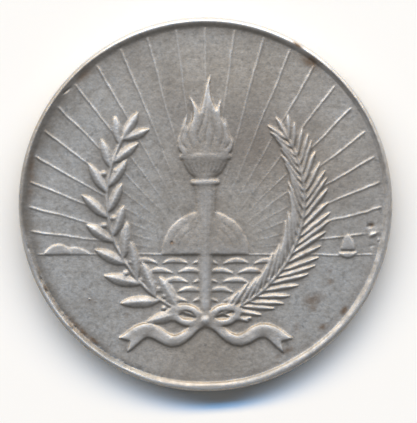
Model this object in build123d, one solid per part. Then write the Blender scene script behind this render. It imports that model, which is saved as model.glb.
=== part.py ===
from build123d import *

# Struck medallion: one round silver blank, pressed between two dies. A narrow raised rim runs round
# both faces. The obverse carries low relief: a torch before a rising sun over the sea, between a
# laurel branch and a palm branch tied with a ribbon. The reverse is plain. Metal, relief and rim are
# one solid, as the press leaves them.
#
# Frame: +Z out of the obverse, +Y towards the top of the design, origin at the centre of the plane
# that the reverse rim rests on. Millimetres.

import math
import os

# Blank and rim
medal_diameter = 50.0
edge_thickness = 3.6
rim_width = 1.80
rim_land_width = 0.10
rim_height = 0.30
rim_shoulder_radius = 0.55
# The rest of the rim's width is a hollow that curves up out of the field
rim_hollow_width = rim_width - rim_land_width - rim_shoulder_radius

# Relief heights above the field
ray_height = 0.13
horizon_height = 0.12
wave_height = 0.12
hill_height = 0.14
sail_height = 0.15
sun_margin_height = 0.10
sun_crown_height = 0.28
stem_height = 0.22
laurel_height = 0.32
berry_height = 0.28
palm_height = 0.27
torch_height = 0.46
flame_height = 0.45
ribbon_height = 0.32
knot_height = 0.44

# Every raised form starts this far below the field, so that it is one metal with the blank
root_depth = 0.30
ray_root_depth = 0.15
# Bodies that only trim a form go down this far, and run past its ends by this share of its length
trim_depth = 3 * root_depth
trim_overrun = 0.10
# Rays and horizon run this far up the rim's hollow
design_overrun = 0.40

field_radius = medal_diameter / 2 - rim_width
design_radius = field_radius + design_overrun
field_z = edge_thickness - rim_height

# The design is laid out in shares of the field's radius, from the medal's centre, X right and Y up.

# Rising sun and its rays
sun_radius = 0.25 * field_radius
horizon_y = -0.29 * field_radius
ray_count = 23
ray_start = 1.22 * sun_radius
ray_half_width = 0.0085 * field_radius
horizon_half_width = 0.004 * field_radius

# Hills on the left horizon: centre x, half width, top above the horizon, share of hill_height
hills = {
    "far": (-0.770, 0.110, 0.040, 0.70),
    "near": (-0.850, 0.080, 0.058, 1.00),
}

# Small sailing boat on the right horizon
boat_x = 0.82 * field_radius
boat_hull_half_length = 0.055 * field_radius
boat_hull_depth = 0.030 * field_radius
boat_mast_height = 0.120 * field_radius
boat_main_foot = 0.042 * field_radius
boat_jib_foot = 0.036 * field_radius
boat_sail_belly = 0.012 * field_radius

# Wave crests: y of the row, number of crests
wave_rows = [
    (-0.345, 5),
    (-0.400, 4),
    (-0.455, 5),
    (-0.510, 4),
    (-0.565, 3),
]
wave_pitch = 0.175 * field_radius
wave_half_length = 0.075 * field_radius
wave_rise = 0.020 * field_radius
wave_thickness = 0.013 * field_radius

# Branches: each stem is an arc, and the right one is the left one's mirror image
branch_radius = 0.70 * field_radius
branch_centre_x = 0.13 * field_radius
branch_centre_y = 0.03 * field_radius
branch_foot_angle = 281.0
branch_tip_angle = 146.0
tip_leaf_share = 0.97
stem_end_share = 0.98
stem_half_width = 0.011 * field_radius
stem_back_share = 0.40
# Leaves start this far from the stem's middle, inside its flank
leaf_start = 0.8 * stem_half_width

laurel_pairs = 9
laurel_first, laurel_last = 0.24, 0.94
laurel_foot_length = 0.225 * field_radius
laurel_tip_length = 0.170 * field_radius
laurel_width_share = 0.30
laurel_spread = 34.0
laurel_stagger = 0.02
laurel_margin_share = 0.38
laurel_crown_drop = 0.09
laurel_sway = 4.0
laurel_length_play = 0.07
berry_radius = 0.0165 * field_radius
berry_reach = 0.031 * field_radius
berry_advance = 0.068

palm_pairs = 24
palm_first, palm_last = 0.22, 0.96
palm_leaflet_width = 0.027 * field_radius
palm_longest = 0.235 * field_radius
palm_tip_length = 0.14 * field_radius
palm_spread_foot, palm_spread_tip = 33.0, 27.0
# Leaflets lengthen and shorten along the branch as this stretch of half a sine wave
palm_swell_first, palm_swell_last = 0.25, 0.80
palm_margin_share = 0.35
palm_sway = 2.5
palm_length_play = 0.06
# Leaf after leaf, sway and length are taken this much further round a circle, so that none repeat
leaf_variety_turn = 137.5

# Torch, from foot to lip. Each part is lofted through its rows: y, half width, share of torch_height
torch_parts = {
    "finial": [
        (-0.660, 0.018, 0.48),
        (-0.645, 0.034, 0.60),
        (-0.625, 0.034, 0.60),
        (-0.605, 0.022, 0.54),
    ],
    "handle": [
        (-0.608, 0.030, 0.62),
        (-0.560, 0.034, 0.66),
        (0.115, 0.062, 0.84),
    ],
    "collar": [
        (0.112, 0.078, 0.92),
        (0.125, 0.086, 0.95),
        (0.140, 0.078, 0.92),
    ],
    "bowl": [
        (0.138, 0.060, 0.80),
        (0.155, 0.060, 0.80),
        (0.185, 0.095, 0.89),
        (0.235, 0.122, 0.95),
        (0.262, 0.128, 0.95),
    ],
    "lip": [
        (0.258, 0.140, 0.97),
        (0.272, 0.146, 1.00),
        (0.290, 0.140, 0.97),
    ],
}
torch_side_share = 0.30
flute_count = 4
flute_depth = 0.06
flute_half_width = 0.13
# The flutes share out this much of the handle's width
flute_field_share = 0.90

# Flame tongues: foot x, foot half width, neck x, neck y, neck half width, tip x, tip y, curl of the
# tip to the left, share of flame_height
flame_foot_y = 0.284
flame_tongues = [
    (-0.085, 0.040, -0.120, 0.400, 0.028, -0.108, 0.520, 0.006, 0.72),
    (0.085, 0.040, 0.118, 0.390, 0.028, 0.112, 0.500, -0.006, 0.72),
    (-0.045, 0.060, -0.050, 0.480, 0.034, -0.092, 0.620, -0.008, 0.84),
    (0.048, 0.058, 0.075, 0.470, 0.034, 0.096, 0.605, 0.008, 0.84),
    (0.000, 0.070, 0.018, 0.560, 0.042, 0.030, 0.750, 0.012, 1.00),
]
flame_belly = 0.022
flame_hollow_share = 0.16
flame_eave_share = 0.55
flame_tip_share = 0.60

# Ribbon tails run out sideways from the knot, swinging up and down while their edges rise and dip
tail_start_x, tail_end_x = 0.010 * field_radius, 0.475 * field_radius
tail_middle_y = -0.728 * field_radius
tail_fall = 0.056 * field_radius
tail_swing = 0.040 * field_radius
tail_wave_share = 0.72
tail_fold_share = 0.36
tail_fold_depth_share = 0.30
tail_start_half_width = 0.020 * field_radius
tail_end_half_width = 0.048 * field_radius
tail_spans = 15
ribbon_notch = 0.045 * field_radius
loop_length = 0.225 * field_radius
loop_width = 0.125 * field_radius
loop_band = 0.036 * field_radius
loop_tilt = 14.0
# How far the loops' backs fall from their middle to their ends
loop_crown_drop = 0.11
knot_radius = 0.044 * field_radius
knot_y = -0.668 * field_radius


def closed_solid(loops):
    """A solid bounded by flat faces, each given by its corner points in order."""
    return Solid(Shell([Face(Wire.make_polygon(loop, close=True)) for loop in loops]))


def roof_block(start, end, half_span, ridges, eaves):
    """A bar with a pitched top from start to end; ridges and eaves are heights at the two ends."""
    along = Vector(end[0] - start[0], end[1] - start[1]).normalized()
    across = Vector(-along.Y, along.X) * half_span
    foot = []
    eave = []
    ridge = []
    for (x, y), ridge_z, eave_z in zip((start, end), ridges, eaves):
        left = Vector(x, y) + across
        right = Vector(x, y) - across
        foot.append((Vector(left.X, left.Y, -trim_depth), Vector(right.X, right.Y, -trim_depth)))
        eave.append((Vector(left.X, left.Y, eave_z), Vector(right.X, right.Y, eave_z)))
        ridge.append(Vector(x, y, ridge_z))
    return closed_solid(
        [
            [foot[0][0], foot[0][1], foot[1][1], foot[1][0]],
            [foot[0][0], foot[1][0], eave[1][0], eave[0][0]],
            [foot[0][1], eave[0][1], eave[1][1], foot[1][1]],
            [eave[0][0], eave[1][0], ridge[1], ridge[0]],
            [eave[0][1], ridge[0], ridge[1], eave[1][1]],
            [foot[0][0], eave[0][0], ridge[0], eave[0][1], foot[0][1]],
            [foot[1][0], foot[1][1], eave[1][1], ridge[1], eave[1][0]],
        ]
    )


def spine(start, end, slope, heights, root):
    """A thin ridge with a triangular section from start to end; slope is half width per height."""
    along = Vector(end[0] - start[0], end[1] - start[1]).normalized()
    across = Vector(-along.Y, along.X)
    rings = []
    for (x, y), height in zip((start, end), heights):
        reach = across * (slope * (height + root))
        rings.append(
            (
                Vector(x, y, height),
                Vector(x + reach.X, y + reach.Y, -root),
                Vector(x - reach.X, y - reach.Y, -root),
            )
        )
    (top_a, left_a, right_a), (top_b, left_b, right_b) = rings
    return closed_solid(
        [
            [top_a, left_a, right_a],
            [top_b, right_b, left_b],
            [top_a, top_b, left_b, left_a],
            [top_a, right_a, right_b, top_b],
            [left_a, left_b, right_b, right_a],
        ]
    )


def raised(edges, height):
    """A flat-topped form over a closed outline, from the root up to height."""
    return Pos(0, 0, -root_depth) * extrude(make_face(edges), amount=root_depth + height)


def lens(length, width):
    """Outline of a leaf: two equal arcs from the origin to a tip on +X."""
    return [
        ThreePointArc((0, 0), (length / 2, width / 2), (length, 0)),
        ThreePointArc((length, 0), (length / 2, -width / 2), (0, 0)),
    ]


def dome(x, y, radius, height):
    """A round boss: the cap of a ball, going down to the root."""
    ball_radius = (radius**2 + height**2) / (2 * height)
    ball = Pos(x, y, height - ball_radius) * Sphere(ball_radius)
    stub = Pos(x, y, height / 2 - root_depth / 2) * Cylinder(radius, height + root_depth)
    return ball & stub


def laurel_leaf(length, width):
    """A leaf with a raised midrib, highest in its middle, lying along +X."""
    margin = laurel_margin_share * laurel_height
    crown_radius = (length / 2) ** 2 / (2 * laurel_crown_drop)
    axis_z = laurel_height - crown_radius
    sweep = math.degrees(2 * math.asin((0.5 + trim_overrun) * length / crown_radius))
    section = Plane.YZ * make_face(
        Polyline(
            (-width, -trim_depth),
            (width, -trim_depth),
            (width, 2 * margin - laurel_height),
            (0, laurel_height),
            (-width, 2 * margin - laurel_height),
            close=True,
        )
    )
    axis = Axis((0, 0, axis_z), (0, 1, 0))
    roof = revolve(section.rotate(axis, -sweep / 2), axis, revolution_arc=sweep)
    return raised(lens(length, width), laurel_height) & Pos(length / 2, 0, 0) * roof


def palm_leaflet(length):
    """A narrow leaflet with a sharp midrib, lying along +X."""
    margin = palm_margin_share * palm_height
    eave = 2 * margin - palm_height
    roof = roof_block(
        (-trim_overrun * length, 0),
        ((1 + trim_overrun) * length, 0),
        palm_leaflet_width,
        (palm_height, palm_height),
        (eave, eave),
    )
    return raised(lens(length, palm_leaflet_width), palm_height) & roof


def branch_point(side, share):
    """Place on a branch's stem and the way it grows, in degrees; share is 0 at the foot, 1 at the tip."""
    angle = branch_foot_angle + (branch_tip_angle - branch_foot_angle) * share
    x = branch_centre_x + branch_radius * math.cos(math.radians(angle))
    y = branch_centre_y + branch_radius * math.sin(math.radians(angle))
    heading = angle - 90
    if side > 0:
        return -x, y, 180 - heading
    return x, y, heading


def stem(side):
    """A stem with bevelled flanks along the branch's arc, from the foot into the tip leaf."""
    sweep = (branch_foot_angle - branch_tip_angle) * stem_end_share
    start = branch_foot_angle - sweep
    if side > 0:
        start = 180 - branch_foot_angle
    back = stem_back_share * stem_half_width
    section = Plane.XZ * make_face(
        Polyline(
            (branch_radius - stem_half_width, -root_depth),
            (branch_radius + stem_half_width, -root_depth),
            (branch_radius + stem_half_width, 0),
            (branch_radius + back, stem_height),
            (branch_radius - back, stem_height),
            (branch_radius - stem_half_width, 0),
            close=True,
        )
    )
    ring = Rot(0, 0, start) * revolve(section, Axis.Z, revolution_arc=sweep)
    return Pos(-side * branch_centre_x, branch_centre_y, 0) * ring


def variety(number):
    """A value from -1 to 1 for each leaf by its number, as on a branch modelled by hand."""
    return math.sin(math.radians(leaf_variety_turn * number))


def laurel_branch():
    pieces = [stem(-1)]
    for i in range(laurel_pairs):
        step = i / (laurel_pairs - 1)
        share = laurel_first + (laurel_last - laurel_first) * step
        usual_length = laurel_foot_length + (laurel_tip_length - laurel_foot_length) * step
        for side, delay in ((1, 0.0), (-1, laurel_stagger)):
            number = 2 * i + side
            length = usual_length * (1 + laurel_length_play * variety(number + 0.5))
            leaf = laurel_leaf(length, laurel_width_share * usual_length)
            turn = side * laurel_spread + laurel_sway * variety(number)
            x, y, heading = branch_point(-1, share + delay)
            pieces.append(Pos(x, y, 0) * Rot(0, 0, heading + turn) * Pos(leaf_start, 0, 0) * leaf)
        if i % 2 == 0 and i < laurel_pairs - 1:
            for turn, delay in ((90, 0.0), (-90, laurel_stagger)):
                x, y, heading = branch_point(-1, share + delay + berry_advance)
                way = math.radians(heading + turn)
                berry_x = x + berry_reach * math.cos(way)
                berry_y = y + berry_reach * math.sin(way)
                pieces.append(dome(berry_x, berry_y, berry_radius, berry_height))
    x, y, heading = branch_point(-1, tip_leaf_share)
    leaf = laurel_leaf(laurel_tip_length, laurel_width_share * laurel_tip_length)
    pieces.append(Pos(x, y, 0) * Rot(0, 0, heading) * leaf)
    return pieces


def palm_branch():
    pieces = [stem(1)]
    for i in range(palm_pairs):
        step = i / (palm_pairs - 1)
        share = palm_first + (palm_last - palm_first) * step
        swell = palm_swell_first + (palm_swell_last - palm_swell_first) * step
        usual_length = palm_longest * math.sin(math.pi * swell)
        spread = palm_spread_foot + (palm_spread_tip - palm_spread_foot) * step
        x, y, heading = branch_point(1, share)
        for side in (1, -1):
            number = 2 * i + side
            leaflet = palm_leaflet(usual_length * (1 + palm_length_play * variety(number + 0.5)))
            turn = side * spread + palm_sway * variety(number)
            pieces.append(Pos(x, y, 0) * Rot(0, 0, heading + turn) * Pos(leaf_start, 0, 0) * leaflet)
    x, y, heading = branch_point(1, tip_leaf_share)
    pieces.append(Pos(x, y, 0) * Rot(0, 0, heading) * palm_leaflet(palm_tip_length))
    return pieces


def sunburst():
    """Half a domed sun standing on the horizon, the horizon line, and rays out to the rim."""
    rise = sun_crown_height - sun_margin_height
    ball_radius = (sun_radius**2 + rise**2) / (2 * rise)
    ball = Pos(0, horizon_y, sun_crown_height - ball_radius) * Sphere(ball_radius)
    half_disc = raised(
        [
            Line((-sun_radius, horizon_y), (sun_radius, horizon_y)),
            ThreePointArc(
                (sun_radius, horizon_y), (0, horizon_y + sun_radius), (-sun_radius, horizon_y)
            ),
        ],
        sun_crown_height,
    )
    pieces = [half_disc & ball]
    reach = math.sqrt(design_radius**2 - horizon_y**2)
    slope = horizon_half_width / horizon_height
    ends = ((-reach, horizon_y), (reach, horizon_y))
    pieces.append(spine(*ends, slope, (horizon_height, horizon_height), root_depth))
    for i in range(ray_count):
        angle = math.pi * (i + 1) / (ray_count + 1)
        across, up = math.cos(angle), math.sin(angle)
        toward = horizon_y * up
        length = -toward + math.sqrt(toward**2 - horizon_y**2 + design_radius**2)
        start = (ray_start * across, horizon_y + ray_start * up)
        end = (length * across, horizon_y + length * up)
        heights = (ray_height * ray_start / length, ray_height)
        pieces.append(spine(start, end, ray_half_width / ray_height, heights, ray_root_depth))
    return pieces


def shore_and_sea():
    """Hills and a boat on the horizon, and the wave crests below it."""
    pieces = []
    inside = Pos(0, 0, field_z / 2 - root_depth) * Cylinder(design_radius, field_z)
    for centre, half_width, height, share in hills.values():
        left = ((centre - half_width) * field_radius, horizon_y)
        right = ((centre + half_width) * field_radius, horizon_y)
        top = (centre * field_radius, horizon_y + height * field_radius)
        hill = raised([Line(left, right), ThreePointArc(right, top, left)], share * hill_height)
        pieces.append(hill & inside)
    bow = (boat_x + boat_hull_half_length, horizon_y + boat_hull_depth / 2)
    stern = (boat_x - boat_hull_half_length, horizon_y + boat_hull_depth / 2)
    keel = (boat_x, horizon_y - boat_hull_depth / 2)
    pieces.append(raised([Line(stern, bow), ThreePointArc(bow, keel, stern)], sail_height))
    for foot in (boat_main_foot, -boat_jib_foot):
        low = (boat_x, horizon_y + boat_hull_depth)
        top = (boat_x, horizon_y + boat_mast_height)
        clew = (boat_x + foot, horizon_y + boat_hull_depth)
        belly = (
            boat_x + foot / 2 + math.copysign(boat_sail_belly, foot),
            horizon_y + (boat_hull_depth + boat_mast_height) / 2,
        )
        pieces.append(
            raised([Line(low, clew), ThreePointArc(clew, belly, top), Line(top, low)], sail_height)
        )
    for row_y, count in wave_rows:
        y = row_y * field_radius
        for i in range(count):
            x = (i - (count - 1) / 2) * wave_pitch
            left = (x - wave_half_length, y)
            right = (x + wave_half_length, y)
            crest = [
                ThreePointArc(left, (x, y + wave_rise + wave_thickness), right),
                ThreePointArc(right, (x, y + wave_rise - wave_thickness), left),
            ]
            pieces.append(raised(crest, wave_height))
    return pieces


def torch_section(y, half_width, height):
    """Cross-section of the torch: upright sides with a round back, standing on the root."""
    side = torch_side_share * height
    edges = [
        Polyline(
            (-half_width, side),
            (-half_width, -root_depth),
            (half_width, -root_depth),
            (half_width, side),
        ),
        ThreePointArc((half_width, side), (0, height), (-half_width, side)),
    ]
    plane = Plane(origin=(0, y, 0), x_dir=(1, 0, 0), z_dir=(0, -1, 0))
    return plane * make_face(edges)


def round_back(half_width, height, across):
    """Height of a torch section's back at a share of its half width."""
    side = torch_side_share * height
    rise = height - side
    radius = (half_width**2 + rise**2) / (2 * rise)
    return height - radius + math.sqrt(radius**2 - (across * half_width) ** 2)


def torch():
    """Five lofted parts, foot to lip, with flutes cut down the handle."""
    pieces = {}
    for name, rows in torch_parts.items():
        sections = []
        for y, half_width, share in rows:
            sections.append(
                torch_section(y * field_radius, half_width * field_radius, share * torch_height)
            )
        pieces[name] = loft(sections, ruled=True)
    low, high = torch_parts["handle"][1:]
    for i in range(flute_count):
        across = flute_field_share * (2 * i + 1 - flute_count) / flute_count
        line = []
        for y, half_width, share in (low, high):
            width = half_width * field_radius
            z = round_back(width, share * torch_height, across)
            line.append((across * width, y * field_radius, z))
        groove = closed_solid(groove_loops(line))
        pieces["handle"] = pieces["handle"] - groove
    return list(pieces.values())


def groove_loops(line):
    """Faces of a wedge that cuts a groove between two points on a surface."""
    rings = []
    for x, y, z in line:
        rings.append(
            (
                Vector(x, y, z - flute_depth),
                Vector(x - 2 * flute_half_width, y, z + flute_depth),
                Vector(x + 2 * flute_half_width, y, z + flute_depth),
            )
        )
    (bed_a, left_a, right_a), (bed_b, left_b, right_b) = rings
    return [
        [bed_a, right_a, left_a],
        [bed_b, left_b, right_b],
        [bed_a, left_a, left_b, bed_b],
        [bed_a, bed_b, right_b, right_a],
        [left_a, right_a, right_b, left_b],
    ]


def bulged(start, end, bulge):
    """An arc from start to end whose middle stands off the chord by bulge, to its left."""
    chord = Vector(end[0] - start[0], end[1] - start[1])
    middle = Vector((start[0] + end[0]) / 2, (start[1] + end[1]) / 2)
    off = Vector(-chord.Y, chord.X).normalized() * bulge
    return ThreePointArc(start, (middle.X + off.X, middle.Y + off.Y), end)


def flame():
    """Tongues that swell from the bowl and run out to curved tips."""
    pieces = []
    for foot_x, foot_half, neck_x, neck_y, neck_half, tip_x, tip_y, curl, share in flame_tongues:
        scale = field_radius
        foot_left = ((foot_x - foot_half) * scale, flame_foot_y * scale)
        foot_right = ((foot_x + foot_half) * scale, flame_foot_y * scale)
        neck_left = ((neck_x - neck_half) * scale, neck_y * scale)
        neck_right = ((neck_x + neck_half) * scale, neck_y * scale)
        tip = (tip_x * scale, tip_y * scale)
        hollow = flame_hollow_share * neck_half
        outline = [
            Line(foot_left, foot_right),
            bulged(foot_right, neck_right, -flame_belly * scale),
            bulged(neck_right, tip, (hollow + curl) * scale),
            bulged(tip, neck_left, (hollow - curl) * scale),
            bulged(neck_left, foot_left, -flame_belly * scale),
        ]
        top = share * flame_height
        eave = flame_eave_share * top
        fall = (1 - flame_tip_share) * top
        span = (foot_half + 2 * flame_belly) * scale
        overrun = trim_overrun * (tip_y - flame_foot_y)
        roof = roof_block(
            (foot_x * scale, (flame_foot_y - overrun) * scale),
            (tip_x * scale, (tip_y + overrun) * scale),
            2 * span,
            (top, top - fall),
            (2 * eave - top, 2 * eave - top - fall),
        )
        pieces.append(raised(outline, top) & roof)
    return pieces


def ribbon():
    """A bow: knot, two loops, and two tails whose folds rise and dip, ending in swallowtails."""
    crown_radius = (loop_length / 2) ** 2 / (2 * loop_crown_drop)
    crown = Pos(loop_length / 2, 0, ribbon_height - crown_radius) * Sphere(crown_radius)
    opening = raised(lens(loop_length - 3 * loop_band, loop_width - 2 * loop_band), ribbon_height)
    loop = (raised(lens(loop_length, loop_width), ribbon_height) & crown) - Pos(
        1.5 * loop_band, 0, 0
    ) * opening
    pieces = [dome(0, knot_y, knot_radius, knot_height)]
    for side in (-1, 1):
        turn = loop_tilt if side > 0 else 180 - loop_tilt
        pieces.append(Pos(0, knot_y, 0) * Rot(0, 0, turn) * loop)
        pieces.append(tail(side))
    return pieces


def tail_point(side, step):
    """Middle of a ribbon tail, from 0 at the knot to 1 at its end."""
    x = tail_start_x + (tail_end_x - tail_start_x) * step
    swing = tail_swing * math.cos(math.tau * step / tail_wave_share)
    return Vector(side * x, tail_middle_y - tail_fall * step + swing)


def tail(side):
    """One ribbon tail, lofted through its folds, with a notch cut in its end."""
    sections = []
    for i in range(tail_spans + 1):
        step = i / tail_spans
        point = tail_point(side, step)
        ahead = tail_point(side, (i + 0.5) / tail_spans)
        behind = tail_point(side, (i - 0.5) / tail_spans)
        along = (ahead - behind).normalized()
        half_width = tail_start_half_width + (tail_end_half_width - tail_start_half_width) * step
        across = Vector(-along.Y, along.X) * (side * half_width)
        fold = tail_fold_depth_share / 2 * math.cos(math.tau * step / tail_fold_share)
        middle = 1 - tail_fold_depth_share / 2
        corners = [
            (point.X + across.X, point.Y + across.Y, (middle + fold) * ribbon_height),
            (point.X + across.X, point.Y + across.Y, -root_depth),
            (point.X - across.X, point.Y - across.Y, -root_depth),
            (point.X - across.X, point.Y - across.Y, (middle - fold) * ribbon_height),
        ]
        sections.append(Face(Wire.make_polygon(corners, close=True)))
    band = loft(sections, ruled=True)
    reach = 2 * across
    inner = point - along * ribbon_notch
    outer = point + along * ribbon_notch
    notch = make_face(
        Polyline(
            (inner.X, inner.Y),
            (outer.X + reach.X, outer.Y + reach.Y),
            (outer.X - reach.X, outer.Y - reach.Y),
            close=True,
        )
    )
    return band - Pos(0, 0, -trim_depth) * extrude(notch, amount=trim_depth + 2 * ribbon_height)


def blank():
    """The disc with its rim on both faces, turned from one half section."""
    outer = medal_diameter / 2
    land_outer = outer - rim_shoulder_radius
    land_inner = land_outer - rim_land_width
    top = edge_thickness
    shoulder = rim_shoulder_radius * (1 - math.sqrt(0.5))
    hollow_radius = (rim_hollow_width**2 + rim_height**2) / (2 * rim_height)
    half_turn = math.asin(rim_hollow_width / hollow_radius) / 2
    hollow_x = field_radius + hollow_radius * math.sin(half_turn)
    hollow_rise = hollow_radius * (1 - math.cos(half_turn))
    section = Plane.XZ * make_face(
        [
            Line((0, rim_height), (field_radius, rim_height)),
            ThreePointArc(
                (field_radius, rim_height), (hollow_x, rim_height - hollow_rise), (land_inner, 0)
            ),
            Line((land_inner, 0), (land_outer, 0)),
            ThreePointArc((land_outer, 0), (outer - shoulder, shoulder), (outer, rim_shoulder_radius)),
            Line((outer, rim_shoulder_radius), (outer, top - rim_shoulder_radius)),
            ThreePointArc(
                (outer, top - rim_shoulder_radius), (outer - shoulder, top - shoulder), (land_outer, top)
            ),
            Line((land_outer, top), (land_inner, top)),
            ThreePointArc(
                (land_inner, top), (hollow_x, field_z + hollow_rise), (field_radius, field_z)
            ),
            Line((field_radius, field_z), (0, field_z)),
            Line((0, field_z), (0, rim_height)),
        ]
    )
    return revolve(section, Axis.Z)


def medallion():
    """Blank and relief in one solid."""
    relief = [
        *sunburst(),
        *shore_and_sea(),
        *laurel_branch(),
        *palm_branch(),
        *torch(),
        *flame(),
        *ribbon(),
    ]
    return blank().fuse(*[Pos(0, 0, field_z) * piece for piece in relief])


os.makedirs("parts", exist_ok=True)
export_step(medallion(), "parts/medallion.step")
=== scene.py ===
import math

import bmesh
import bpy
import numpy as np
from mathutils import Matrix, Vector
from mathutils.bvhtree import BVHTree


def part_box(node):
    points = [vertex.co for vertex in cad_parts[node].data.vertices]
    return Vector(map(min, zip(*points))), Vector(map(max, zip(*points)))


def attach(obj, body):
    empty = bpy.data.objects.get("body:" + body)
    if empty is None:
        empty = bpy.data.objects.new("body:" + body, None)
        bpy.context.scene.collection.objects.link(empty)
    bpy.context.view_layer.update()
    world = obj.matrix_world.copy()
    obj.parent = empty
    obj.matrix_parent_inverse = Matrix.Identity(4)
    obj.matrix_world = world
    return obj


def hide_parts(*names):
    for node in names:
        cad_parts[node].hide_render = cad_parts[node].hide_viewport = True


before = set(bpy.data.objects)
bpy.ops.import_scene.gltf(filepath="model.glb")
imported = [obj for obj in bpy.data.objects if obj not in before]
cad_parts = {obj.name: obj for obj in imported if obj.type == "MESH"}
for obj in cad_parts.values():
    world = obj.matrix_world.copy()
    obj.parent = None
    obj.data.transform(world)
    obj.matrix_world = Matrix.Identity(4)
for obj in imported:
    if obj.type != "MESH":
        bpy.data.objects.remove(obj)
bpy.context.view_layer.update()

# Relief. The press raised torch, sun, branches and ribbon from the blank in one blow of the die, so
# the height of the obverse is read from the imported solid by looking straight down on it, point by
# point. Lengths are in millimetres until the mesh is made.
MM = 0.001
low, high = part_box("medallion")
medal_radius = (high.x - low.x) / 2 / MM
relief_top = high.z / MM
rim_width = 1.80
rim_land = 0.10
rim_shoulder = 0.55
field_radius = medal_radius - rim_width
land_radius = medal_radius - rim_shoulder

map_step = 0.05
map_margin = 4
map_cells = int(math.ceil(land_radius / map_step)) + map_margin
map_line = np.arange(-map_cells, map_cells + 1) * map_step
map_x, map_y = np.meshgrid(map_line, map_line)
map_r = np.hypot(map_x, map_y)

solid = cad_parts["medallion"].data
corners = [v.co / MM for v in solid.vertices]
body = BVHTree.FromPolygons(corners, [tuple(p.vertices) for p in solid.polygons])


def height_at(x, y):
    """Height of the solid's obverse at x and y."""
    hit = body.ray_cast(Vector((x, y, 2 * relief_top)), Vector((0, 0, -1)))[0]
    return hit.z


rim_top = height_at(land_radius - rim_land / 2, 0)
relief = np.full(map_r.shape, rim_top)
inside = map_r < land_radius
relief[inside] = [height_at(x, y) for x, y in zip(map_x[inside], map_y[inside])]
field_height = float(np.median(relief[inside]))

# Branches. Laurel and palm are modelled leaf by leaf on two bowed stems, and the die cutter has
# gone over each laurel leaf with a graver, which left a fan of shallow veins on both sides of its
# midrib.
branch_radius = 0.70 * field_radius
branch_centre = (0.13 * field_radius, 0.03 * field_radius)
branch_foot, branch_tip = math.radians(281), math.radians(146)
leaf_pairs = 9
leaf_first, leaf_last, leaf_stagger = 0.24, 0.94, 0.02
leaf_spread = math.radians(34)
leaf_sway = math.radians(4)
leaf_length, leaf_shortening, leaf_length_play = 0.225, 0.055, 0.07
leaf_width_share = 0.30
leaf_variety_turn = math.radians(137.5)
leaf_start = 0.0088 * field_radius
vein_pitch = 0.55
vein_depth = 0.050
vein_slant = 0.9
vein_end, midrib = 0.25, 0.12


def ramp(value, start, width):
    """Goes from 0 to 1 as a value goes from start to start plus width."""
    return np.clip((value - start) / width, 0, 1)


def engrave_veins(x, y, heading, length, width):
    """Cuts veins into one laurel leaf that starts at x, y and points along heading."""
    along = (map_x - x) * math.cos(heading) + (map_y - y) * math.sin(heading) - leaf_start
    across = np.abs((map_y - y) * math.cos(heading) - (map_x - x) * math.sin(heading))
    share = np.clip(along / length, 0, 1)
    edge = 2 * width * share * (1 - share)
    on_leaf = ramp(edge - across, 0, vein_end) * ramp(across, 0, midrib)
    waves = 0.5 + 0.5 * np.cos(math.tau * (along - vein_slant * across) / vein_pitch)
    relief[:] -= vein_depth * on_leaf * waves**2


for i in range(leaf_pairs):
    step = i / (leaf_pairs - 1)
    usual_length = (leaf_length - leaf_shortening * step) * field_radius
    for side, delay in ((1, 0), (-1, leaf_stagger)):
        number = 2 * i + side
        share = leaf_first + (leaf_last - leaf_first) * step + delay
        angle = branch_foot + (branch_tip - branch_foot) * share
        sway = leaf_sway * math.sin(leaf_variety_turn * number)
        engrave_veins(
            branch_centre[0] + branch_radius * math.cos(angle),
            branch_centre[1] + branch_radius * math.sin(angle),
            angle - math.pi / 2 + side * leaf_spread + sway,
            usual_length * (1 + leaf_length_play * math.sin(leaf_variety_turn * (number + 0.5))),
            leaf_width_share * usual_length,
        )


# Torch, flame, sun, water and ribbon. Their forms are in the solid, and fine lines cut with the
# graver give the flame its licks, the bowl its flutes, the sun its arcs and the ribbon its hems.
def smooth_line(points, count=40):
    """A rounded line through listed points, given as shares of the field's radius."""
    points = np.array(points, float) * field_radius
    ends = np.vstack([2 * points[0] - points[1], points, 2 * points[-1] - points[-2]])
    line = []
    for a, b, c, d in zip(ends, ends[1:], ends[2:], ends[3:]):
        t = np.linspace(0, 1, max(2, count // (len(points) - 1)), endpoint=False)[:, None]
        line.append(0.5 * (2 * b + (c - a) * t + (2 * a - 5 * b + 4 * c - d) * t**2
                           + (3 * b - a - 3 * c + d) * t**3))
    return np.vstack([*line, points[-1:]])


def engrave_line(points, half_width, depth):
    """Cuts a groove along a line, running out at both ends; a negative depth raises a ridge."""
    line = smooth_line(points)
    x0, y0 = ((line.min(0) - 2 * half_width) / map_step).astype(int) + map_cells
    x1, y1 = ((line.max(0) + 2 * half_width) / map_step).astype(int) + map_cells
    window = (slice(y0, y1 + 1), slice(x0, x1 + 1))
    px, py = map_x[window], map_y[window]
    nearest = np.full(px.shape, 1e9)
    place = np.zeros(px.shape)
    for i, (a, b) in enumerate(zip(line, line[1:])):
        d = b - a
        t = np.clip(((px - a[0]) * d[0] + (py - a[1]) * d[1]) / (d @ d), 0, 1)
        gap = np.hypot(px - a[0] - t * d[0], py - a[1] - t * d[1])
        closer = gap < nearest
        nearest = np.where(closer, gap, nearest)
        place = np.where(closer, (i + t) / (len(line) - 1), place)
    taper = np.clip(6 * np.minimum(place, 1 - place), 0, 1)  # over a sixth of the line
    relief[window] -= depth * taper * np.exp(-((nearest / half_width) ** 2) * 2)


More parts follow.
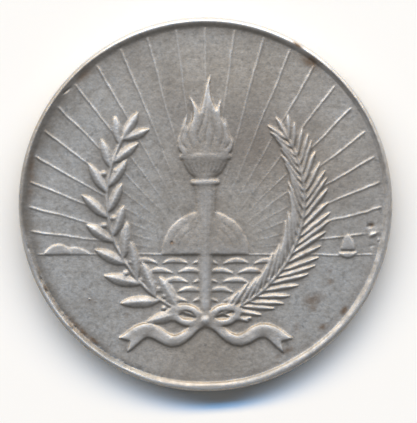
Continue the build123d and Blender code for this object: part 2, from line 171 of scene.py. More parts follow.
flame_licks = [
    [(-0.030, 0.305), (-0.042, 0.400), (-0.010, 0.500), (0.010, 0.610), (0.024, 0.700)],
    [(0.030, 0.305), (0.050, 0.400), (0.038, 0.500), (0.036, 0.600)],
    [(0.000, 0.320), (0.000, 0.400), (0.016, 0.480), (0.020, 0.560)],
    [(-0.072, 0.305), (-0.100, 0.390), (-0.084, 0.490), (-0.088, 0.570)],
    [(0.076, 0.305), (0.104, 0.390), (0.094, 0.480), (0.095, 0.560)],
    [(-0.105, 0.310), (-0.140, 0.370), (-0.122, 0.450)],
    [(0.108, 0.310), (0.142, 0.360), (0.124, 0.440)],
]
lick_cut = {"half_width": 0.16, "depth": 0.10}
for lick in flame_licks:
    engrave_line(lick, **lick_cut)

# Hems run along both edges of each ribbon tail. Its middle line falls outwards in a wave, and it
# grows wider towards its end.
tail_start, tail_length, tail_fall = (0.010, -0.728), 0.465, 0.056
tail_wave, tail_wave_length = 0.040, 0.72
tail_half_width, tail_flare = 0.020, 0.028
hem_from, hem_reach, hem_points = 0.10, 0.84, 13
hem_share = 0.72
hem_cut = {"half_width": 0.09, "depth": 0.05}
for side in (-1, 1):
    for edge in (-hem_share, hem_share):
        hem = []
        for i in range(hem_points):
            step = hem_from + hem_reach * i / (hem_points - 1)
            wave_turn = math.tau * step / tail_wave_length
            x = tail_start[0] + tail_length * step
            y = tail_start[1] - tail_fall * step + tail_wave * math.cos(wave_turn)
            rise = -tail_fall - tail_wave * math.tau / tail_wave_length * math.sin(wave_turn)
            half_width = tail_half_width + tail_flare * step
            steep = math.hypot(tail_length, rise)
            hem_x = x - edge * half_width * rise / steep
            hem_y = y + edge * half_width * tail_length / steep
            hem.append((side * hem_x, hem_y))
        engrave_line(hem, **hem_cut)

# Ripples: long shallow strokes on the water between the crests
ripple_rows, ripple_row_pitch, ripple_top = 6, 0.055, -0.322
ripples_in_row, ripple_pitch, ripple_start = 5, 0.15, -0.30
ripple_play, ripple_row_turn, ripple_turn = 0.04, 5.1, 2.3
ripple_half, ripple_half_play, half_row_turn, half_turn = 0.035, 0.012, 3.7, 1.9
ripple_sag = 0.003
ripple_cut = {"half_width": 0.07, "depth": 0.03}
for row in range(ripple_rows):
    y = ripple_top - ripple_row_pitch * row
    for i in range(ripples_in_row):
        play = ripple_play * math.sin(ripple_row_turn * row + ripple_turn * i)
        x = ripple_start + ripple_pitch * i + play
        half = ripple_half + ripple_half_play * math.sin(half_row_turn * row + half_turn * i)
        engrave_line([(x - half, y), (x, y - ripple_sag), (x + half, y)], **ripple_cut)

# Arcs in the sun, on both sides of the torch
sun_y = -0.29
arc_radii = (0.085, 0.125, 0.165, 0.205)
arc_lift, arc_points = 0.10, 7
torch_gap = 0.062
arc_cut = {"half_width": 0.10, "depth": 0.045}
for radius in arc_radii:
    for side in (-1, 1):
        arc = []
        for i in range(arc_points):
            lift = arc_lift + (math.acos(torch_gap / radius) - arc_lift) * i / (arc_points - 1)
            arc.append((side * radius * math.cos(lift), sun_y + radius * math.sin(lift)))
        engrave_line(arc, **arc_cut)

# Flutes fan out up the bowl. Columns of its profile: half width, height.
bowl_flutes = 9
bowl_profile = [(0.062, 0.168), (0.092, 0.195), (0.116, 0.248)]
flute_cut = {"half_width": 0.13, "depth": 0.08}
for i in range(bowl_flutes):
    lean = (i - (bowl_flutes - 1) / 2) / bowl_flutes * 2
    engrave_line([(lean * half, y) for half, y in bowl_profile], **flute_cut)


# Press and wear. The wax that the dies were cut from was modelled by hand, so no line in it is
# quite true. Metal never fills a die's corners sharply, and years of handling have rounded every
# edge further.
def blur(field, radius):
    """Gaussian blur of a map over a radius in millimetres."""
    edge = int(math.ceil(3 * radius / map_step))
    padded = np.pad(field, edge, mode="edge")
    wave_y = np.fft.fftfreq(padded.shape[0], map_step)[:, None]
    wave_x = np.fft.rfftfreq(padded.shape[1], map_step)[None, :]
    keep = np.exp(-2 * (math.pi * radius) ** 2 * (wave_x**2 + wave_y**2))
    soft = np.fft.irfft2(np.fft.rfft2(padded) * keep, padded.shape)
    return soft[edge:-edge, edge:-edge]


def look_up(field, x, y):
    """Value of a map at any x and y, between its points."""
    last = field.shape[0] - 1.001  # just short of the map's last point
    fx = np.clip(x / map_step + map_cells, 0, last)
    fy = np.clip(y / map_step + map_cells, 0, last)
    ix, iy = fx.astype(int), fy.astype(int)
    tx, ty = fx - ix, fy - iy
    lower = field[iy, ix] * (1 - tx) + field[iy, ix + 1] * tx
    upper = field[iy + 1, ix] * (1 - tx) + field[iy + 1, ix + 1] * tx
    return lower * (1 - ty) + upper * ty


def uneven(radius, seed):
    """A map of soft hills and hollows of a radius in millimetres, with a spread of 1."""
    hills = blur(np.random.default_rng(seed).standard_normal(map_r.shape), radius)
    return hills / hills.std()


def oval(x, y, middle_x, middle_y, half_length, half_width, tilt):
    """A soft oval, 1 at its middle and 0 well outside, tilted from +X by so many degrees."""
    c, s = math.cos(math.radians(tilt)), math.sin(math.radians(tilt))
    along = ((x - middle_x) * c + (y - middle_y) * s) / half_length
    across = ((y - middle_y) * c - (x - middle_x) * s) / half_width
    return np.exp(-(along**2) - across**2)


hand_sway, hand_sway_size = 0.055, 1.3
tremor, tremor_size = 0.018, 0.35
sway_x = hand_sway * uneven(hand_sway_size, 1) + tremor * uneven(tremor_size, 11)
sway_y = hand_sway * uneven(hand_sway_size, 2) + tremor * uneven(tremor_size, 12)
rim_sway_share = 0.4
sway_end, sway_fade = 0.3, 0.8
sway_share = ramp(field_radius + sway_end - map_r, 0, sway_fade)
sway_share = rim_sway_share + (1 - rim_sway_share) * sway_share

# The die's rim was turned by hand too, so its hollow is tighter and its crest lies further in along
# the bottom. Columns: bearing from +X in degrees, height below which the hollow's foot is gone,
# shift of the crest.
rim_turning = np.array([
    (0, 0.085, 0.02),
    (20, 0.140, -0.10),
    (30, 0.150, -0.12),
    (45, 0.125, -0.04),
    (60, 0.080, 0.12),
    (75, 0.055, 0.14),
    (105, 0.030, 0.14),
    (120, 0.035, 0.00),
    (135, 0.035, -0.14),
    (150, 0.030, -0.15),
    (165, 0.035, -0.03),
    (180, 0.045, 0.00),
    (210, 0.100, -0.10),
    (240, 0.115, -0.10),
    (255, 0.115, 0.00),
    (270, 0.105, 0.15),
    (285, 0.110, 0.13),
    (300, 0.080, 0.28),
    (315, 0.105, 0.14),
    (335, 0.105, 0.05),
    (360, 0.085, 0.02),
])
map_turn = np.arctan2(map_y, map_x)
map_bearing = np.degrees(map_turn) % 360
map_out = map_r - field_radius  # how far outside the foot of the rim
shift_from, shift_fade, toe_fade = 0.2, 0.8, 0.45
toe_here, shift_here = [
    np.interp(map_bearing, rim_turning[:, 0], column) for column in rim_turning.T[1:]
]
shift = 1 + shift_here * ramp(map_out, shift_from, shift_fade) / np.maximum(map_r, 1)
relief = look_up(relief, map_x * shift + sway_share * sway_x, map_y * shift + sway_share * sway_y)

rim_height = rim_top - field_height
toe = toe_here * ramp(map_out, 0, toe_fade)
toe_cut = np.clip(relief - field_height - toe, 0, None) * rim_height / (rim_height - toe)
relief = np.where(map_r > field_radius, field_height + toe_cut, relief)

# Corners are softened over these radii: the relief by the press and then by wear, the more so the
# higher it stands, and the rim with its crest.
struck_soft, worn_soft, rim_soft, crest_soft = 0.085, 0.26, 0.11, 0.20
least_wear, more_wear, high_relief, relief_spread = 0.12, 0.43, 0.12, 0.5
rim_from, rim_fade = 0.3, 0.3
crest_from, crest_fade, land_fade = 0.70, 0.2, 0.1
wear = least_wear + more_wear * ramp(blur(relief, relief_spread), field_height, high_relief)
rubbed = (1 - wear) * blur(relief, struck_soft) + wear * blur(relief, worn_soft)
at_crest = ramp(map_out, crest_from, crest_fade) * ramp(land_radius - map_r, 0, land_fade)
rim = (1 - at_crest) * blur(relief, rim_soft) + at_crest * blur(relief, crest_soft)
at_rim = ramp(map_out, rim_from, rim_fade)
relief = (1 - at_rim) * rubbed + at_rim * rim

# The field is not quite flat, the relief is a little rough, and the rim's crest is battered at the
# lower left. Columns: height, size of the hills, seed.
field_waves = [(0.005, 0.9, 3), (0.0022, 0.22, 4)]
relief_grit = [(0.0025, 0.14, 5)]
crest_dents = [(0.015, 0.13, 6), (0.010, 0.30, 7)]


def hills_of(rows):
    """Uneven maps of several sizes, added up."""
    return sum(height * uneven(size, seed) for height, size, seed in rows)


relief_full, edge_fade = 0.08, 0.5
batter_from, batter_to, batter_fade = math.radians(-160), math.radians(-98), math.radians(12)
batter_at, batter_width, batter_reach = 0.85, 0.45, 1.2
battered = ramp(np.minimum(map_turn - batter_from, batter_to - map_turn), 0, batter_fade)
battered *= np.clip(batter_reach - np.abs(map_out - batter_at) / batter_width, 0, 1)
on_relief = ramp(relief, field_height, relief_full)
unevenness = hills_of(field_waves) + on_relief * hills_of(relief_grit)
relief += unevenness * ramp(land_radius - map_r, 0, edge_fade)
relief += battered * hills_of(crest_dents)

# Knocks: x, y, half length, half width, tilt in degrees, depth; a negative depth is a burr. The
# hardest, at the right, has also flattened the end of a ray.
knocks = [
    (-18.6, 15.1, 0.55, 0.16, 40, 0.12),
    (-23.7, -5.9, 0.30, 0.12, 100, 0.08),
    (-22.0, -10.0, 0.35, 0.12, 120, 0.08),
    (-21.3, -11.6, 0.30, 0.12, 120, 0.08),
    (-18.1, -16.3, 0.35, 0.16, 135, -0.08),
    (-15.5, -12.7, 0.14, 0.12, 0, -0.05),
    (22.1, -2.90, 0.42, 0.28, 10, 0.09),
    (22.4, -4.05, 0.50, 0.26, 28, -0.16),
    (23.1, -4.80, 0.24, 0.14, 60, -0.06),
    (22.2, -5.6, 0.35, 0.20, 20, 0.05),
    (-4.5, -5.1, 0.14, 0.14, 0, 0.06),
]
smear_x, smear_y, smear_length, smear_width, smear_soft = 22.3, -3.55, 1.5, 0.6, 0.45
smear = ((map_x - smear_x) / smear_length) ** 4 + ((map_y - smear_y) / smear_width) ** 4
relief += np.exp(-smear) * (blur(relief, smear_soft) - relief)
for *place, depth in knocks:
    relief -= depth * oval(map_x, map_y, *place)

# Where the surface stands proud of its surroundings, or lies below them
round_about, full_step = 0.50, 0.10
broad = blur(relief, round_about)
proud = ramp(relief - broad, 0, full_step)
sunken = ramp(broad - relief, 0, full_step)

# Medallion. One disc of silver with a narrow rim on both faces, a plain edge and a plain reverse.
# The mesh is a single closed skin: a disc grid for the obverse, then rings over the rim, down the
# edge and across the back.
grid_cells = 620
skin_triangles = 165000
longest_edge, longest_back_edge = 0.5, 2.0
seam = 0.02

grid_line = np.linspace(-1, 1, grid_cells + 1)
u, v = np.meshgrid(grid_line, grid_line)
wide = np.abs(u) >= np.abs(v)
reach = np.where(wide, u, v)
slant = np.where(wide, v, u) / np.where(reach == 0, 1, reach)
turn = math.pi / 4 * slant
disc_x = np.where(wide, np.cos(turn), np.sin(turn)) * reach * land_radius
disc_y = np.where(wide, np.sin(turn), np.cos(turn)) * reach * land_radius
disc_z = look_up(relief, disc_x, disc_y)
index = np.arange((grid_cells + 1) ** 2).reshape(grid_cells + 1, grid_cells + 1)
loop = np.concatenate([index[0, :-1], index[:-1, -1], index[-1, :0:-1], index[:0:-1, 0]])
points = [np.column_stack([disc_x.ravel(), disc_y.ravel(), disc_z.ravel()])]
cell_corners = (index[:-1, :-1], index[:-1, 1:], index[1:, 1:], index[1:, :-1])
faces = [np.column_stack([corner.ravel() for corner in cell_corners])]

# Rings over the shoulder, down the edge, round the back shoulder and up the hollow of the back rim
rim_hollow = rim_width - rim_land - rim_shoulder
hollow_radius = (rim_hollow**2 + rim_height**2) / (2 * rim_height)
curve_rings, edge_rings = 8, 4
field_ring_shares = (0.97, 0.9, 0.75, 0.5, 0.25, 0.06)
back_rings = []
for i in range(1, curve_rings + 1):
    bend = math.pi / 2 * i / curve_rings
    drop = rim_shoulder * (1 - math.cos(bend))
    back_rings.append((land_radius + rim_shoulder * math.sin(bend), rim_top - drop))
for i in range(1, edge_rings):
    drop = (rim_top - 2 * rim_shoulder) * i / edge_rings
    back_rings.append((medal_radius, rim_top - rim_shoulder - drop))
for i in range(curve_rings + 1):
    bend = math.pi / 2 * i / curve_rings
    draw_in = rim_shoulder * (1 - math.cos(bend))
    back_rings.append((medal_radius - draw_in, rim_shoulder * (1 - math.sin(bend))))
for i in range(curve_rings + 1):
    inset = rim_hollow * (1 - i / curve_rings)
    rise = hollow_radius - math.sqrt(hollow_radius**2 - inset**2)
    back_rings.append((field_radius + inset, rim_height - rise))
back_rings += [(field_radius * share, rim_height) for share in field_ring_shares]

rim_way = points[0][loop][:, :2] / np.linalg.norm(points[0][loop][:, :2], axis=1)[:, None]
previous = loop
for radius, z in back_rings:
    start = sum(len(p) for p in points)
    points.append(np.column_stack([rim_way * radius, np.full(len(loop), z)]))
    ring = start + np.arange(len(loop))
    faces.append(np.column_stack([previous, ring, np.roll(ring, -1), np.roll(previous, -1)]))
    previous = ring
points = np.vstack(points)
faces = np.vstack(faces)
centre = len(points)
points = np.vstack([points, [[0, 0, rim_height]]])
fan = np.column_stack([previous, np.full(len(loop), centre), np.roll(previous, -1)])

skin = bpy.data.meshes.new("struck_medallion")
skin.from_pydata((points * MM).tolist(), [], [*faces.tolist(), *fan.tolist()], shade_flat=False)
medal = bpy.data.objects.new("struck_medallion", skin)
bpy.context.scene.collection.objects.link(medal)

thin = medal.modifiers.new("thin", "DECIMATE")
thin.ratio = skin_triangles / (2 * len(faces) + len(fan))
thin.use_collapse_triangulate = True
settled = bpy.context.evaluated_depsgraph_get()
medal.data = bpy.data.meshes.new_from_object(medal.evaluated_get(settled))
medal.data.name = "struck_medallion"
medal.modifiers.clear()
bpy.data.meshes.remove(skin)


def wide_edges(mesh):
    """Edges over the longest length for their face of the medallion, longest first."""
    found = []
    for edge in mesh.edges:
        on_front = min(v.co.z for v in edge.verts) > rim_top / 2 * MM
        if edge.calc_length() > (longest_edge if on_front else longest_back_edge) * MM:
            found.append(edge)
    return sorted(found, key=lambda e: -e.calc_length())


# Long edges that the thinning left on the flat fields are halved, and the two triangles beside each
# with them, so that toning can change across a field.
fill = bmesh.new()
fill.from_mesh(medal.data)
while to_halve := wide_edges(fill):
    for edge in to_halve:
        beside = [(f, next(v for v in f.verts if v not in edge.verts)) for f in edge.link_faces]
        middle = bmesh.utils.edge_split(edge, edge.verts[0], 0.5)[1]
        for face, far_corner in beside:
            bmesh.utils.face_split(face, middle, far_corner)
fill.to_mesh(medal.data)
fill.free()

spots = np.zeros(len(medal.data.vertices) * 3)
medal.data.vertices.foreach_get("co", spots)
spot_x, spot_y, spot_z = spots.reshape(-1, 3).T / MM
spot_r = np.hypot(spot_x, spot_y)
front = spot_z > rim_top / 2

# The obverse takes its shading from the slopes of the relief, which are finer than the mesh
slope_y, slope_x = np.gradient(relief, map_step)
facing = np.zeros(len(spots))
medal.data.vertices.foreach_get("normal", facing)
facing = facing.reshape(-1, 3)
struck = front & (spot_r < land_radius - seam)
facing[struck, 0] = -look_up(slope_x, spot_x[struck], spot_y[struck])
facing[struck, 1] = -look_up(slope_y, spot_x[struck], spot_y[struck])
facing[struck, 2] = 1
facing /= np.linalg.norm(facing, axis=1)[:, None]
medal.data.normals_split_custom_set_from_vertices(facing.tolist())


# Toning. Air and fingers darken silver where nothing rubs it: along the foot of the relief, inside
# the rim and in patches. The darkening along the foot of the relief and in the rim's hollow is also
# painted shade, for the shade that falls into these creases. Each point of the skin carries how
# strong each kind of mark is there.
def hump(distance, width):
    """Goes from 1 at no distance to 0 well past a width, as a bell does."""
    return np.exp(-((distance / width) ** 2))


spot_out = spot_r - field_radius
relief_rub, design_end = 0.36, 0.3
hollow_end, hollow_fade = 0.4, 0.6
back_dirt, back_dirt_at, back_dirt_width = 0.6, 0.3, 0.5
on_design = front & (spot_r < field_radius + design_end)
wear_and_painted_highlight = np.where(on_design, relief_rub * look_up(proud, spot_x, spot_y), 0.0)
# Painted shade with toning: darker where the surface lies below its surroundings, at the foot of
# the relief and of the rim
cavity_toning_and_shade = look_up(sunken, spot_x, spot_y)
cavity_toning_and_shade *= ramp(field_radius - hollow_end - spot_r, 0, hollow_fade)
cavity_toning_and_shade = np.where(front, cavity_toning_and_shade, back_dirt * hump(spot_out - back_dirt_at, back_dirt_width))

# Inside the rim the field is darkest on the upper left and clean on the lower right. The dark band
# is tarnish, and along the top it is also painted shade in the rim's hollow, which faces away from
# the lamps there. Outside the band the shoulder is rubbed bright, with a painted highlight where it
# faces the lamps. The crest has a bluish film along the bottom.
# Columns: bearing from +X, strength of the band, radius where it is darkest, the widths over which
# it fades inwards and outwards, radius that the shoulder is bright from, how bright it is, and how
# strong the film.
rim_tones = np.array([
    (0, 0.00, 24.00, 1.0, 0.20, 24.50, 0.30, 0.05),
    (30, 0.12, 23.60, 1.2, 0.30, 24.56, 0.70, 0.00),
    (45, 0.10, 23.60, 1.4, 0.30, 24.46, 0.95, 0.00),
    (60, 0.16, 23.50, 1.6, 0.40, 24.18, 0.90, 0.00),
    (90, 0.42, 23.50, 1.1, 0.60, 24.26, 1.00, 0.00),
    (105, 0.38, 23.40, 1.4, 0.60, 24.26, 1.00, 0.00),
    (120, 0.34, 23.20, 1.8, 0.70, 24.38, 0.92, 0.00),
    (135, 0.36, 23.30, 1.8, 0.60, 24.64, 0.95, 0.00),
    (150, 0.80, 23.50, 2.0, 0.70, 24.78, 0.95, 0.00),
    (165, 0.85, 24.00, 1.9, 0.75, 24.62, 0.50, 0.00),
    (180, 1.00, 24.50, 1.1, 0.20, 24.74, 0.60, 0.00),
    (195, 1.10, 24.12, 1.2, 0.28, 24.45, 0.45, 0.10),
    (210, 1.10, 24.12, 1.0, 0.28, 24.40, 0.62, 0.20),
    (225, 1.10, 24.15, 1.0, 0.30, 24.40, 0.66, 0.20),
    (240, 0.90, 24.05, 0.5, 0.30, 24.40, 0.60, 0.50),
    (255, 0.50, 23.85, 0.6, 0.15, 24.42, 0.85, 0.10),
    (270, 0.35, 23.80, 0.6, 0.12, 24.42, 0.80, 0.00),
    (285, 0.50, 23.78, 0.8, 0.15, 24.42, 0.80, 0.25),
    (305, 0.00, 23.70, 0.7, 0.15, 24.42, 0.25, 0.15),
    (330, 0.00, 23.70, 0.7, 0.15, 24.42, 0.75, 0.05),
    (360, 0.00, 24.00, 1.0, 0.20, 24.50, 0.30, 0.05),
])
bearing = np.degrees(np.arctan2(spot_y, spot_x)) % 360
tone_here, tone_at, fade_in, fade_out, bright_from, shoulder_shine_here, film_here = [
    np.interp(bearing, rim_tones[:, 0], column) for column in rim_tones.T[1:]
]
# Painted shade and tarnish: the dark band inside the rim
tarnish_and_shade_band = tone_here * hump(spot_r - tone_at, np.where(spot_r < tone_at, fade_in, fade_out))

# The bright shoulder is rubbed silver and also a painted highlight, brightest where it faces the
# lamps. It begins softly at the top and sharply at the bottom, where it also ends sooner, and fades
# out down the edge.
below_start, below_rise = 0.1, 1.8
soft_start, sharper = 0.50, 0.35
early_end, early_fade, edge_darkening = 0.25, 0.20, 0.40
below = np.clip(below_start - below_rise * np.sin(np.radians(bearing)), 0, 1)
shoulder_wear_and_highlight = shoulder_shine_here * ramp(spot_r, bright_from, soft_start - sharper * below)
shoulder_wear_and_highlight *= 1 - below * ramp(spot_r - land_radius, early_end, early_fade)
shoulder_wear_and_highlight *= np.clip((spot_z - rim_top + rim_shoulder) / edge_darkening + 1, 0, 1)
wear_and_painted_highlight = np.maximum(wear_and_painted_highlight, shoulder_wear_and_highlight)

# Places on the rim that are made brighter: fingers have rubbed them, and the two along the bottom
# are also painted highlights where the crest faces the lamps. Columns: bearing, distance from the
# rim's foot, half angle, half width, tilt, strength.
rim_rubs_and_glints = [
    (267, 0.90, 13, 0.18, 0, 0.30),
    (318, 0.90, 14, 0.18, 0, 0.12),
    (28, 1.05, 12, 0.25, 0, 0.24),
    (52, 0.85, 14, 0.26, 0, 0.24),
]
for *place, strength in rim_rubs_and_glints:
    rub_and_glint = strength * oval(bearing, spot_out, *place)
    wear_and_painted_highlight = np.maximum(wear_and_painted_highlight, np.where(front, rub_and_glint, 0))

film_from, film_fade_in, film_to, film_fade_out = 0.35, 0.25, 0.1, 0.2
film = film_here * ramp(spot_out, film_from, film_fade_in)
film *= ramp(land_radius + film_to - spot_r, 0, film_fade_out)

# The metal has gone warm where it is raised, and in broad patches: dark warm ones, pale tan ones
# and dull grey ones. Small stains are brown. Columns: x, y, half length, half width, tilt in
# degrees, strength.
warm_patches = [
    (8.0, 8.2, 8.5, 6.0, 0, 0.90),
    (-3.0, 12.5, 4.0, 4.0, 0, 0.50),
    (17.0, 3.0, 5.0, 3.5, 0, 0.50),
    (-2.0, 3.0, 6.0, 6.0, 0, 0.35),
    (0.0, -20.5, 9.0, 3.0, 0, 0.40),
    (-9.5, 19.5, 3.5, 3.0, 0, 0.35),
    (21.5, -4.0, 1.8, 8.0, 0, 0.35),
]
tan_patches = [
    (4.0, 17.0, 17.0, 7.5, 0, 1.00),
    (12.0, 6.0, 12.0, 9.0, 0, 1.00),
    (0.0, 6.0, 8.0, 8.0, 0, 0.80),
    (3.0, -2.0, 10.0, 7.0, 0, 0.80),
    (0.0, -20.0, 9.0, 8.0, 0, 0.90),
]
dull_patches = [
    (-10.8, -3.0, 3.2, 6.5, 0, 0.34),
    (-15.8, -13.5, 3.5, 4.5, 0, 0.22),
    (-2.0, 1.0, 7.0, 6.0, 0, 0.18),
    (15.5, 0.0, 3.0, 3.0, 0, 0.15),
]
stains = [
    (14.1, 19.0, 1.4, 0.80, -36, 0.85),
    (12.2, 21.3, 1.1, 0.25, -30, 0.9),
    (-16.3, 17.2, 1.4, 0.6, 43, 0.55),
    (-23.4, 4.0, 3.4, 0.5, 88, 0.6),
    (-16.8, -16.7, 2.6, 0.28, -45, 0.95),
    (-15.0, -18.2, 0.9, 0.24, -38, 1.0),
    (-17.8, -16.5, 1.6, 0.30, -47, 0.40),
    (-22.4, -8.4, 0.45, 0.18, -68, 0.55),
    (-21.4, -11.2, 0.50, 0.20, -62, 0.60),
    (-20.3, -13.0, 0.40, 0.20, -57, 0.60),
    (-18.6, -14.9, 0.40, 0.25, -45, 0.60),
    (22.1, -2.85, 0.42, 0.30, 10, 1.0),
    (14.5, -12.7, 1.6, 0.9, 20, 0.62),
    (14.4, -13.9, 0.9, 0.6, -20, 0.50),
    (18.6, -14.2, 0.7, 0.4, 50, 0.95),
    (-15.5, -12.8, 1.1, 0.8, 0, 0.25),
    (15.8, -16.4, 0.8, 0.4, 30, 0.80),
    (10.9, -19.6, 1.0, 0.4, 25, 0.80),
    (9.8, -20.3, 0.6, 0.3, 20, 0.70),
    (12.2, -16.4, 0.8, 0.5, 60, 0.55),
    (16.6, -10.4, 0.5, 0.4, 0, 0.60),
    (16.7, -8.8, 0.4, 0.4, 0, 0.50),
    (7.2, -8.9, 0.5, 0.35, 30, 0.45),
    (13.3, -6.6, 0.35, 0.3, 0, 0.45),
    (-4.5, -5.2, 0.30, 0.25, 0, 0.9),
    (-10.6, -14.8, 0.5, 0.4, 0, 0.6),
]


def covered(ovals):
    """How strongly each point of the skin is covered by soft ovals."""
    cover = np.zeros(len(spot_r))
    for *place, strength in ovals:
        cover = np.maximum(cover, strength * oval(spot_x, spot_y, *place))
    return cover


raised_warmth, raised_spread, raised_full = 0.42, 0.8, 0.06
back_warmth, back_tan = 0.15, 0.50
raised = ramp(blur(relief - field_height, raised_spread), 0, raised_full)
warmth = np.maximum(covered(warm_patches), raised_warmth * look_up(raised, spot_x, spot_y))
marks = {
    "wear_and_painted_highlight": wear_and_painted_highlight,
    "cavity_toning_and_shade": cavity_toning_and_shade,
    "tarnish_and_shade_band": np.where(front, np.maximum(tarnish_and_shade_band, covered(dull_patches)), 0),
    "warmth": np.where(front, warmth, back_warmth),
    "tan": np.where(front, covered(tan_patches), back_tan),
    "film": np.where(front, film, 0),
    "stain": np.where(front, covered(stains), 0),
}
for name, values in marks.items():
    layer = medal.data.attributes.new(name, "FLOAT", "POINT")
    layer.data.foreach_set("value", values.astype(np.float32))

# Silver. The metal is satin grey, and tan, warm, dark and bluish tones are mixed over it where the
# marks say; some of the dark is painted shade and some of the bright is painted highlight. Noise of
# several sizes breaks them up, so that no tone has an even edge.
silver = bpy.data.materials.new("old_struck_silver")
silver.use_nodes = True
nodes, links = silver.node_tree.nodes, silver.node_tree.links
shader = nodes["Principled BSDF"]
shader.inputs["Metallic"].default_value = 1.0


def node(kind, **settings):
    """Adds a node; settings that start with in_ go to the input of that name."""
    made = nodes.new(kind)
    for key, value in settings.items():
        if key.startswith("in_"):
            made.inputs[key[3:].replace("_", " ")].default_value = value
        else:
            setattr(made, key, value)
    return made


def join(socket, value):
    """Links a node's output to a socket, or sets the socket to a plain value."""
    if isinstance(value, bpy.types.NodeSocket):
        links.new(value, socket)
    else:
        socket.default_value = value


def mix_colour(amount, under, over):
    """A colour that goes from under to over as amount goes from 0 to 1."""
    made = node("ShaderNodeMix", data_type="RGBA")
    factor, first_colour, second_colour = made.inputs[0], made.inputs[6], made.inputs[7]
    join(factor, amount)
    join(first_colour, under)
    join(second_colour, over)
    return made.outputs[2]


def ranged(value, low_in, high_in, low_out=0.0, high_out=1.0):
    """A value stretched from one range to another and held inside it."""
    made = node("ShaderNodeMapRange", in_From_Min=low_in, in_From_Max=high_in)
    join(made.inputs["Value"], value)
    join(made.inputs["To Min"], low_out)
    join(made.inputs["To Max"], high_out)
    return made.outputs["Result"]


def times(a, b):
    """The product of two values."""
    made = node("ShaderNodeMath", operation="MULTIPLY")
    join(made.inputs[0], a)
    join(made.inputs[1], b)
    return made.outputs[0]


in_mm = node("ShaderNodeMapping", in_Scale=(1 / MM, 1 / MM, 1 / MM))
links.new(node("ShaderNodeTexCoord").outputs["Object"], in_mm.inputs["Vector"])


def noise(scale, detail=3.0, roughness=0.5, stretch=None):
    """Noise with features of 1 / scale mm; stretch is a scale per axis and a turn about Z."""
    made = node("ShaderNodeTexNoise", in_Scale=scale, in_Detail=detail, in_Roughness=roughness)
    source = in_mm.outputs["Vector"]
    if stretch:
        shape, turned = stretch
        bent = node("ShaderNodeMapping", in_Scale=shape, in_Rotation=(0, 0, math.radians(turned)))
        links.new(source, bent.inputs["Vector"])
        source = bent.outputs["Vector"]
    links.new(source, made.inputs["Vector"])
    return made.outputs["Fac"]


def mark(name):
    """How strong one kind of mark is at each point of the skin."""
    return node("ShaderNodeAttribute", attribute_name=name).outputs["Fac"]


cool_tone = (0.525, 0.507, 0.480, 1)
tan_tone = (0.525, 0.462, 0.388, 1)
mottle_tone = (0.190, 0.180, 0.166, 1)
warm_tone = (0.305, 0.253, 0.208, 1)
bright_silver = (0.92, 0.92, 0.92, 1)
blue_film = (0.36, 0.43, 0.50, 1)
shade_tone = (0.182, 0.163, 0.140, 1)
brown_tone = (0.205, 0.150, 0.108, 1)

# Patterns, from the largest to the smallest
patches = noise(0.16, 3.0, 0.55)
blotches = noise(0.75, 4.0, 0.6)
mottle = noise(1.9, 2.0, 0.6)
speckle = noise(4.5, 2.0, 0.6)
specks = noise(1.3, 1.0, 0.5, ((1.0, 1.0, 1.0), 77))

tan_here = times(mark("tan"), ranged(patches, 0.30, 0.60, 0.8, 1.0))
warm_here = times(mark("warmth"), ranged(patches, 0.30, 0.60, 0.6, 1.0))
tone = mix_colour(tan_here, cool_tone, tan_tone)
tone = mix_colour(warm_here, tone, warm_tone)

# Mottling, from the largest patches to single specks. Columns: pattern, value from which it shows,
# value at which it is full, strength.
for pattern, shows_from, full_at, strength in (
    (patches, 0.42, 0.66, 0.16),
    (blotches, 0.42, 0.68, 0.42),
    (mottle, 0.42, 0.70, 0.36),
    (speckle, 0.45, 0.70, 0.20),
    (specks, 0.64, 0.74, 0.40),
):
    tone = mix_colour(times(ranged(pattern, shows_from, full_at), strength), tone, mottle_tone)

shade_here = times(ranged(mark("cavity_toning_and_shade"), 0.12, 0.9), 0.20)
band_here = times(mark("tarnish_and_shade_band"), ranged(blotches, 0.30, 0.70, 0.55, 1.0))
stain_here = times(ranged(mark("stain"), 0.10, 0.75), ranged(blotches, 0.30, 0.55, 0.35, 1.0))
# Rubbed silver on the raised relief, and painted highlights on the rim's shoulder and crest
tone = mix_colour(mark("wear_and_painted_highlight"), tone, bright_silver)
# Painted shade with toning in the creases at the foot of the relief
tone = mix_colour(shade_here, tone, shade_tone)
tone = mix_colour(mark("film"), tone, blue_film)
# Painted shade and tarnish in the band inside the rim, with dull patches
tone = mix_colour(band_here, tone, shade_tone)
tone = mix_colour(stain_here, tone, brown_tone)
links.new(tone, shader.inputs["Base Color"])
links.new(ranged(blotches, 0.30, 0.70, 0.50, 0.62), shader.inputs["Roughness"])

# Fine surface: hairlines from wiping, dimples over them and grain over those. Columns: pattern,
# strength, height in metres.
normal = None
for pattern, strength, height in (
    (noise(1.0, 2.0, 0.5, ((0.35, 9.0, 1.0), 32)), 0.20, 0.00001),
    (noise(2.2, 3.0, 0.6), 0.50, 0.00005),
    (noise(5.0, 4.0, 0.65), 0.30, 0.00002),
):
    bump = node("ShaderNodeBump", in_Strength=strength, in_Distance=height)
    links.new(pattern, bump.inputs["Height"])
    if normal:
        links.new(normal, bump.inputs["Normal"])
    normal = bump.outputs["Normal"]
links.new(normal, shader.inputs["Normal"])

medal.data.materials.clear()
medal.data.materials.append(silver)
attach(medal, "root")
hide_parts("medallion")

# Table top. A sheet of plain white card, which the medallion lies on by its reverse rim. It reaches
# past the picture on all sides.
card_size = 1.6
card_white, card_roughness, card_shine = (0.90, 0.895, 0.88, 1), 0.9, 0.1
bpy.ops.mesh.primitive_plane_add(size=card_size, location=(0, 0, low.z))
card = bpy.context.object
card.name = "white_card"
card_finish = bpy.data.materials.new("white_card")
card_finish.use_nodes = True
card_shader = card_finish.node_tree.nodes["Principled BSDF"]
card_shader.inputs["Base Color"].default_value = card_white
card_shader.inputs["Roughness"].default_value = card_roughness
card_shader.inputs["Specular IOR Level"].default_value = card_shine
card.data.materials.append(card_finish)

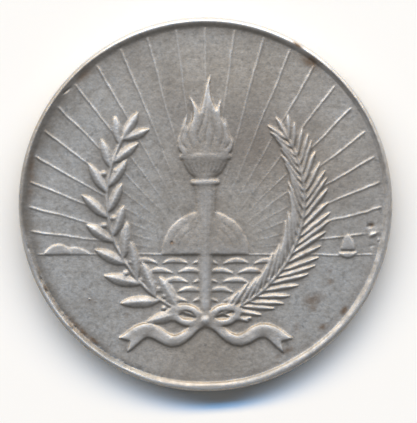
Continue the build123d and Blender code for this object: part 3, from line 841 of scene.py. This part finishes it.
# Light. Two long soft lamps stand beyond the top of the medallion, one above the other. The upper
# one is cooler and the lower one warmer, so that the shadow below the edge fades from grey to pale
# blue. The room is dim.
lamp_distance = 3.0
lamp_length, lamp_depth = 10.0, 0.52
lamp_turn = math.radians(4.5)
upper_lift, upper_power, upper_colour = math.radians(58), 150.0, (0.11, 0.47, 1.0)
lower_lift, lower_power, lower_colour = math.radians(49.3), 233.0, (1.0, 0.719, 0.322)
room_colour, room_strength = (0.95, 0.98, 1.0, 1), 0.15


def area_light(name, turn, lift, power, colour):
    """A soft lamp that looks at the medallion; turn is from +Y towards -X, lift above the table."""
    lamp = bpy.data.lights.new(name, "AREA")
    lamp.shape = "RECTANGLE"
    lamp.size, lamp.size_y = lamp_length, lamp_depth
    lamp.energy = power
    lamp.color = colour
    made = bpy.data.objects.new(name, lamp)
    level = math.cos(lift)
    way = Vector((-math.sin(turn) * level, math.cos(turn) * level, math.sin(lift)))
    made.location = way * lamp_distance
    made.rotation_mode = "QUATERNION"
    made.rotation_quaternion = way.to_track_quat("Z", "Y")
    bpy.context.scene.collection.objects.link(made)


area_light("upper_lamp", lamp_turn, upper_lift, upper_power, upper_colour)
area_light("lower_lamp", lamp_turn, lower_lift, lower_power, lower_colour)

room = bpy.data.worlds.new("room")
bpy.context.scene.world = room
room.use_nodes = True
room_light = room.node_tree.nodes["Background"]
room_light.inputs["Color"].default_value = room_colour
room_light.inputs["Strength"].default_value = room_strength
bpy.context.scene.view_settings.view_transform = "Standard"
bpy.context.scene.view_settings.look = "None"

# Camera. It looks straight down through a long lens, as a flat scanner sees, with the medallion a
# little left of and above the middle of the picture.
picture_width, picture_height = 417, 423
medal_pixel_radius = 187.0
medal_pixel_x, medal_pixel_y = 205.5, 204.1
pixel = medal_radius * MM / medal_pixel_radius
lens, sensor = 600.0, 36.0
eye = bpy.data.cameras.new("eye")
eye.lens = lens
eye.sensor_width = sensor
camera = bpy.data.objects.new("eye", eye)
camera.location = (
    (picture_width / 2 - medal_pixel_x) * pixel,
    (medal_pixel_y - picture_height / 2) * pixel,
    rim_top * MM + picture_height * pixel * lens / sensor,
)
eye.clip_start, eye.clip_end = 0.01, 10.0
bpy.context.scene.collection.objects.link(camera)
bpy.context.scene.camera = camera
